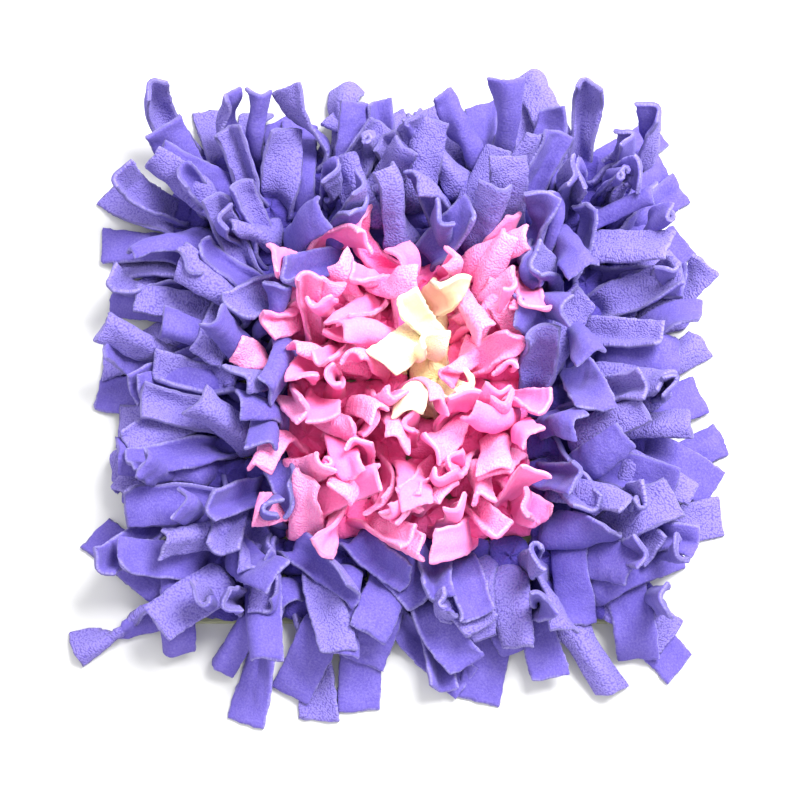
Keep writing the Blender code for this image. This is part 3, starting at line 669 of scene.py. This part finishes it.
def add_sheets(name, laid, take, material, rng):
    """One piece of the closed sheets that are taken."""
    grid, length, width = (laid[key][take] for key in ("grid", "length", "width"))
    points, place, attributes = thickened(grid, laid["u"], laid["v"], length, width, rng)
    faces = sheet_faces(*grid.shape[1:3])
    steps = np.arange(len(grid))[:, None, None] * points.shape[1]
    flat = {key: values.reshape(-1) for key, values in attributes.items()}
    return add_mesh(name, points.reshape(-1, 3), (faces + steps).reshape(-1, 4),
                    place.reshape(-1, 2), flat, material)


# ---------------------------------------------------------------- knots


def knot_places():
    """The middle of every knot, over the bars of the lattice."""
    line = (np.arange(KNOTS_ACROSS) - (KNOTS_ACROSS - 1) / 2) * PITCH
    return np.stack(np.meshgrid(line, line, indexing="ij"), -1).reshape(-1, 2)


def ring_faces(rings, around):
    """The quads between following rings of points."""
    ring = np.arange(rings - 1)[:, None] * around
    after = ring + around
    turn = np.arange(around)[None]
    further = (turn + 1) % around
    quads = np.stack([ring + turn, ring + further, after + further, after + turn], -1)
    return quads.reshape(-1, 4)


def knot_lumps(places, rng):
    """Folded lumps of fleece, one over each bar.

    Each is a squashed ball, drawn out by a third at its four corners. Its radius swells and
    sinks in slanted folds that wind round it: a sine of 3 turns and 4 slopes, and a smaller one
    of 5 turns less 3 slopes, each with its own start. They fade out towards its two poles.
    """
    turn = np.linspace(0, 2 * np.pi, KNOT_AROUND, endpoint=False)
    slope = np.linspace(-0.49 * np.pi, 0.49 * np.pi, KNOT_RINGS)[:, None]
    start = rng.uniform(0, 2 * np.pi, (2, len(places), 1, 1))
    folds = KNOT_FOLDS[0] * np.sin(3 * turn + 4 * slope + start[0])
    folds = folds + KNOT_FOLDS[1] * np.sin(5 * turn - 3 * slope + start[1])
    size = 1 + folds * smooth(0, 0.5, np.cos(slope)) + KNOT_CORNERS * np.sin(2 * turn) ** 2
    x = KNOT_SIZE[0] / 2 * size * np.cos(slope) * np.cos(turn)
    y = KNOT_SIZE[1] / 2 * size * np.cos(slope) * np.sin(turn)
    z = KNOT_SIZE[2] / 2 * size * np.sin(slope) + KNOT_HEIGHT
    angle = rng.uniform(-KNOT_TURN, KNOT_TURN, (len(places), 1, 1))
    spot = places[:, None, None]
    across = spot[..., 0] + np.cos(angle) * x - np.sin(angle) * y
    along = spot[..., 1] + np.sin(angle) * x + np.cos(angle) * y
    points = np.stack([across, along, z], -1).reshape(len(places), -1, 3)
    last = (KNOT_RINGS - 1) * KNOT_AROUND
    ends = np.array([range(KNOT_AROUND)[::-1], range(last, last + KNOT_AROUND)])
    return points, ring_faces(KNOT_RINGS, KNOT_AROUND), ends


# ---------------------------------------------------------------- finishes


class Value:
    """A shader socket that can be used in sums: each operator adds one Math node."""

    def __init__(self, finish, socket):
        self.finish = finish
        self.socket = socket

    def maths(self, operation, *values):
        """The result of one Math node."""
        settings = {"operation": operation}
        return self.finish.node("ShaderNodeMath", settings, dict(enumerate(values)))["Value"]

    def __add__(self, other):
        return self.maths("ADD", self, other)

    __radd__ = __add__

    def __mul__(self, other):
        return self.maths("MULTIPLY", self, other)

    def ramp(self, low, high):
        """0 up to low, 1 from high on, and a smooth step between them."""
        settings = {"interpolation_type": "SMOOTHSTEP"}
        values = {"Value": self, "From Min": low, "From Max": high}
        return self.finish.node("ShaderNodeMapRange", settings, values)["Result"]


class Finish:
    """A new material, built up node by node."""

    def __init__(self, name):
        self.material = bpy.data.materials.new(name)
        self.material.use_nodes = True
        self.tree = self.material.node_tree
        self.tree.nodes.clear()

    def node(self, kind, settings=(), values=()):
        """Add a node: first its settings, then its sockets' values or links. Gives its outputs."""
        node = self.tree.nodes.new(kind)
        for name, setting in dict(settings).items():
            setattr(node, name, setting)
        for name, value in dict(values).items():
            if isinstance(value, Value):
                self.tree.links.new(value.socket, node.inputs[name])
            else:
                node.inputs[name].default_value = value
        return {output.name: Value(self, output) for output in node.outputs if output.enabled}

    def attribute(self, name):
        """The value that an attribute has on the mesh's points."""
        return self.node("ShaderNodeAttribute", {"attribute_name": name})["Fac"]

    def mix(self, share, first, second):
        """A mix of two colours."""
        node = self.tree.nodes.new("ShaderNodeMix")
        node.data_type = "RGBA"
        for index, value in ((0, share), (6, first), (7, second)):
            if isinstance(value, Value):
                self.tree.links.new(value.socket, node.inputs[index])
            else:
                node.inputs[index].default_value = value
        return Value(self, node.outputs[2])

    def noise(self, place, scale, detail=2.0, roughness=0.5, dimensions="2D"):
        """Soft noise, with so many lumps to a metre."""
        values = {"Vector": place, "Scale": scale, "Detail": detail, "Roughness": roughness}
        return self.node("ShaderNodeTexNoise", {"noise_dimensions": dimensions}, values)["Fac"]

    def done(self, values):
        """Close the material with a Principled shader and give it back."""
        shader = self.node("ShaderNodeBsdfPrincipled", (), values)["BSDF"]
        self.node("ShaderNodeOutputMaterial", (), {"Surface": shader})
        return self.material


def shade(colour, factor):
    """A colour with another strength, with its alpha."""
    return (*(min(part * factor, 1.0) for part in colour), 1.0)


def deepened(colour, bounces):
    """A colour after so many bounces of light off its own cloth: darker, and stronger in hue."""
    return (*(part**bounces for part in colour), 1.0)


def fleece_finish(name, colour, cut_colour):
    """Knitted fleece: pebbled on one face and brushed on the other, pale and fluffy where cut.

    Deep in the pile light only comes back off more fleece, which makes its colour stronger: this shade
    is painted into the colour, low in the pile and on the knots.
    """
    fleece = Finish(name)
    place = fleece.node("ShaderNodeUVMap", {"uv_map": "cloth"})["UV"]
    nap, cut, tint, deep = (fleece.attribute(key) for key in ("nap", "cut", "tint", "deep"))
    cells = fleece.node("ShaderNodeTexVoronoi", {"voronoi_dimensions": "2D", "feature": "SMOOTH_F1"},
                        {"Vector": place, "Scale": PEBBLES, "Smoothness": 0.4})["Distance"]
    tufts = fleece.noise(place, TUFTS, 3.0, 0.7)
    clumps = fleece.noise(place, CLUMPS)
    patches = fleece.noise(place, PATCHES)
    pebbles = cells.ramp(0.8, 0.15)
    grain = pebbles * (nap * 0.3 + 0.05) + tufts * 0.5 + clumps * (nap * 0.1 + 0.1) + patches * 0.15
    main = fleece.mix(grain.ramp(0.25, 0.75), deepened(colour, DARK), deepened(colour, PALE))
    worn = fleece.mix(0.2, main, deepened(colour, WORN))
    main = fleece.mix((tint * 0.1 + 0.5).ramp(0.2, 0.8), worn, main)
    pale = (cut * (0.4 + tufts)).ramp(0.3, 1.0)
    main = fleece.mix(pale * 0.2, main, (*cut_colour, 1.0))
    # Painted shade: the colour is mixed towards a darker, stronger one low in the pile and on the
    # knots.
    base = fleece.mix(deep * 0.8, main, deepened(colour, PAINTED_SHADE_BOUNCES))
    height = pebbles * (nap * 0.7 + 0.1) + tufts * 0.8 + clumps * 0.5
    bump = fleece.node("ShaderNodeBump", (),
                       {"Strength": 0.7, "Distance": NAP_HEIGHT, "Height": height})
    return fleece.done({
        "Base Color": base, "Roughness": 0.95, "Normal": bump["Normal"],
        "Sheen Weight": 0.22, "Sheen Roughness": 0.4, "Sheen Tint": shade(cut_colour, 1),
        "Specular IOR Level": 0.1,
    })


def rubber_finish(name, colour):
    """Moulded rubber, slightly uneven and dusty."""
    rubber = Finish(name)
    place = rubber.node("ShaderNodeTexCoord")["Object"]
    cloud = rubber.noise(place, 60.0, 3.0, dimensions="3D")
    grain = rubber.noise(place, 1500.0, dimensions="3D")
    base = rubber.mix(cloud, shade(colour, 0.85), shade(colour, 1.15))
    bump = rubber.node("ShaderNodeBump", (), {"Strength": 0.2, "Distance": 0.2 * MM, "Height": grain})
    return rubber.done({"Base Color": base, "Roughness": cloud * 0.2 + 0.45, "Normal": bump["Normal"]})


# ---------------------------------------------------------------- settings and operators


class SnuffleFleece(PropertyGroup):
    """The fleece strips."""

    width: FloatProperty(name="Strip width", description="Width that the strips are cut to",
                         default=25 * MM, min=10 * MM, max=40 * MM, unit="LENGTH")
    pink_width: FloatProperty(name="Pink strip width",
                              description="Width that the pink strips are cut to",
                              default=21 * MM, min=10 * MM, max=40 * MM, unit="LENGTH")
    curl: FloatProperty(name="Curl", description="How strongly the upright tails' ends curl",
                        default=16.0, min=0.0, max=60.0)
    purple: FloatVectorProperty(name="Purple", description="Colour of the outer tails",
                                default=(0.165, 0.13, 0.45), size=3, subtype="COLOR")
    pink: FloatVectorProperty(name="Pink", description="Colour of the inner tails",
                              default=(0.99, 0.29, 0.6), size=3, subtype="COLOR")
    cream: FloatVectorProperty(name="Cream", description="Colour of the middle tails",
                               default=(0.97, 0.88, 0.63), size=3, subtype="COLOR")


class SnuffleLattice(PropertyGroup):
    """The rubber lattice under the tails."""

    colour: FloatVectorProperty(name="Rubber", description="Colour of the rubber lattice",
                                default=(0.35, 0.36, 0.22), size=3, subtype="COLOR")


# What is worked out once and used by several operators.
LAID = {}
FINISHES = {}


def colour_finish(colour):
    """The finish of one colour of fleece, made once."""
    if colour not in FINISHES:
        main = tuple(getattr(bpy.context.scene.snuffle_fleece, colour))
        cut = tuple(0.6 * part + 0.4 for part in main)
        FINISHES[colour] = fleece_finish(SLOT_OF[colour], main, cut)
    return FINISHES[colour]


def colour_at(places):
    """The colour of the fleece knotted at each place."""
    pink = (np.abs(places - PINK_PLACE) < PINK_BLOCK).all(1)
    cream = (np.abs(places - CREAM_PLACE) < CREAM_BLOCK).all(1)
    return np.where(cream, "cream", np.where(pink, "pink", "purple"))


def second_ends(ribbons):
    """Ribbons for the strips' ends that the frame leaves out, where a knot has fewer than two.

    Such an end starts across its knot from the other one, and points up and outwards.
    """
    places = knot_places()
    root = ribbons[:, 0].mean(1)
    away = root[:, None, :2] - places
    near = np.argmin((away**2).sum(-1), 1)
    away = away[np.arange(len(root)), near]
    right = np.bincount(near[away[:, 0] > 0], minlength=len(places)) > 0
    left = np.bincount(near[away[:, 0] <= 0], minlength=len(places)) > 0
    few = np.bincount(near, minlength=len(places)) < 2
    right, left = ~right & few, ~left & few
    missing = np.concatenate([places[right], places[left]])
    side = np.repeat([1.0, -1.0], [right.sum(), left.sum()])
    lean = np.sign(missing) * smooth(*LATE_LEANS, np.abs(missing) / FIELD) * LATE_LEAN
    direction = unit(np.column_stack([lean, np.ones(len(missing))]))
    start = np.column_stack([missing, np.full(len(missing), BED_TOP)])
    start[:, 0] += side * ROOT_REACH
    step = np.linspace(0, LATE_LENGTH, RIBBON_ROWS + 1)[:, None]
    middle = start[:, None] + step * direction[:, None]
    half = unit(np.cross(direction, [1.0, 0.0, 0.0]))[:, None, None] * ROOT_WIDTH / 2
    return middle[:, :, None] + half * np.array([[-1.0], [1.0]]), colour_at(missing)


def laid_tails():
    """All the tails, settled together once: their sheets, lengths and colours."""
    if not LAID:
        fleece = bpy.context.scene.snuffle_fleece
        found = {colour: read_ribbons(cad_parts[node]) for colour, node in NODE_OF.items()}
        ribbons = np.concatenate(list(found.values()))
        colours = np.repeat(list(found), [len(part) for part in found.values()])
        others, their_colours = second_ends(ribbons)
        late = np.repeat([False, True], [len(ribbons), len(others)])
        ribbons = np.concatenate([ribbons, others])
        colours = np.concatenate([colours, their_colours])
        root, tip = (np.round(ribbons[:, row].mean(1) / MM).astype(int) for row in (0, -1))
        order = np.lexsort((tip[:, 1], tip[:, 0], root[:, 1], root[:, 0]))
        ribbons, colours, late = ribbons[order], colours[order], late[order]
        width = np.where(colours == "pink", fleece.pink_width, fleece.width)
        grid, length = settle(ribbons, late, width, fleece.curl)
        fine, u, v = cut_out(grid, length, width, np.random.default_rng([SEED, 1]))
        LAID.update(grid=fine, u=u, v=v, length=length, width=width, colours=colours,
                    root=grid[:, 0].mean(1))
    return LAID


def build_tails(colour, sides):
    """Build the tails of one colour as one piece for each of its sides."""
    laid = laid_tails()
    rng = np.random.default_rng([SEED, len(colour)])
    for side, chosen in sides(laid["root"]).items():
        take = (laid["colours"] == colour) & chosen
        name = f"{colour}_fleece_{side}" if side else f"{colour}_fleece"
        piece = add_sheets(name, laid, take, colour_finish(colour), rng)
        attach(piece, "root")
        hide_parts(NODE_OF[colour])


def four_sides(root):
    """The near, far, left and right part of the rim."""
    x, y = root[:, 0], root[:, 1]
    upright = np.abs(y) > np.abs(x)
    return {"near": upright & (y < 0), "far": upright & (y >= 0),
            "left": ~upright & (x < 0), "right": ~upright & (x >= 0)}


def two_halves(root):
    """The near and the far half of the middle."""
    return {"near": root[:, 1] < 0, "far": root[:, 1] >= 0}


def whole(root):
    """Everything, as one piece without a side in its name."""
    return {"": np.ones(len(root), bool)}


class SNUFFLE_OT_purple(Operator):
    """Build the purple tails round the rim"""

    bl_idname = "snuffle.purple_tails"
    bl_label = "Purple Tails"

    def execute(self, context):
        build_tails("purple", four_sides)
        return {"FINISHED"}


class SNUFFLE_OT_pink(Operator):
    """Build the pink tails inside the purple ones"""

    bl_idname = "snuffle.pink_tails"
    bl_label = "Pink Tails"

    def execute(self, context):
        build_tails("pink", two_halves)
        return {"FINISHED"}


class SNUFFLE_OT_cream(Operator):
    """Build the few cream tails in the middle"""

    bl_idname = "snuffle.cream_tails"
    bl_label = "Cream Tails"

    def execute(self, context):
        build_tails("cream", whole)
        return {"FINISHED"}


class SNUFFLE_OT_knots(Operator):
    """Build the knots over the lattice's bars"""

    bl_idname = "snuffle.knots"
    bl_label = "Knots"

    def execute(self, context):
        places = knot_places()
        rng = np.random.default_rng([SEED, 3])
        for colour in SLOT_OF:
            points, faces, ends = knot_lumps(places[colour_at(places) == colour], rng)
            piece = add_copies(f"{colour}_knots", points, faces, ends, colour_finish(colour))
            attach(piece, "root")
        return {"FINISHED"}


class SNUFFLE_OT_lattice(Operator):
    """Finish the rubber lattice"""

    bl_idname = "snuffle.lattice"
    bl_label = "Rubber Lattice"

    def execute(self, context):
        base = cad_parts["base_mat"]
        base.data.materials.clear()
        base.data.materials.append(rubber_finish("rubber", context.scene.snuffle_lattice.colour))
        return {"FINISHED"}


def add_key_light():
    """A wide lamp above the mat's far right corner, turned to the mat's middle."""
    light = bpy.data.lights.new("key", "AREA")
    light.shape = "DISK"
    light.size = KEY_SIZE
    light.energy = KEY_POWER
    lamp = bpy.data.objects.new("key", light)
    lamp.location = KEY_SPOT
    lamp.rotation_euler = (-Vector(KEY_SPOT)).to_track_quat("-Z", "Y").to_euler()
    bpy.context.scene.collection.objects.link(lamp)


class SNUFFLE_OT_stage(Operator):
    """Set up the pale floor, the soft light and the camera"""

    bl_idname = "snuffle.stage"
    bl_label = "Stage"

    def execute(self, context):
        scene = context.scene
        corners = FLOOR_REACH * np.array([(-1, -1, 0), (1, -1, 0), (1, 1, 0), (-1, 1, 0)])
        white = Finish("pale_floor").done({
            "Base Color": shade((1, 1, 1), FLOOR_GREY), "Roughness": 0.9, "Specular IOR Level": 0.1,
        })
        add_mesh("floor", corners, np.array([[0, 1, 2, 3]]), material=white)

        world = bpy.data.worlds.new("studio")
        world.use_nodes = True
        sky = world.node_tree.nodes["Background"]
        sky.inputs["Color"].default_value = (1, 1, 1, 1)
        sky.inputs["Strength"].default_value = ROOM_LIGHT
        scene.world = world
        add_key_light()

        tilt = np.radians(CAMERA_ELEVATION)
        lens = bpy.data.cameras.new("camera")
        lens.angle = 2 * np.arctan(VIEW_REACH / CAMERA_DISTANCE)
        camera = bpy.data.objects.new("camera", lens)
        back = Vector((0, -np.cos(tilt), np.sin(tilt)))
        camera.location = Vector(CAMERA_AIM) + back * CAMERA_DISTANCE
        camera.rotation_euler = (np.pi / 2 - tilt, 0, 0)
        scene.collection.objects.link(camera)
        scene.camera = camera
        scene.view_settings.view_transform = "Standard"
        return {"FINISHED"}


class SNUFFLE_PT_panel(Panel):
    """The snuffle mat's settings and steps"""

    bl_label = "Snuffle Mat"
    bl_idname = "SNUFFLE_PT_panel"
    bl_space_type = "VIEW_3D"
    bl_region_type = "UI"
    bl_category = "Snuffle Mat"

    def draw(self, context):
        for group in (context.scene.snuffle_fleece, context.scene.snuffle_lattice):
            box = self.layout.box()
            for name in group.__annotations__:
                box.prop(group, name)
        for step in STEPS:
            self.layout.operator(step.bl_idname)


STEPS = (
    SNUFFLE_OT_lattice, SNUFFLE_OT_knots, SNUFFLE_OT_purple,
    SNUFFLE_OT_pink, SNUFFLE_OT_cream, SNUFFLE_OT_stage,
)
CLASSES = (SnuffleFleece, SnuffleLattice, *STEPS, SNUFFLE_PT_panel)


def register():
    """Add the classes and the scene's settings to Blender."""
    for cls in CLASSES:
        bpy.utils.register_class(cls)
    bpy.types.Scene.snuffle_fleece = PointerProperty(type=SnuffleFleece)
    bpy.types.Scene.snuffle_lattice = PointerProperty(type=SnuffleLattice)


def unregister():
    """Take the settings and the classes away again."""
    del bpy.types.Scene.snuffle_lattice
    del bpy.types.Scene.snuffle_fleece
    for cls in reversed(CLASSES):
        bpy.utils.unregister_class(cls)


def main():
    """Build the whole mat and its stage."""
    register()
    bpy.ops.snuffle.lattice()
    bpy.ops.snuffle.knots()
    bpy.ops.snuffle.purple_tails()
    bpy.ops.snuffle.pink_tails()
    bpy.ops.snuffle.cream_tails()
    bpy.ops.snuffle.stage()
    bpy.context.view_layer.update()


if __name__ == "__main__":
    main()
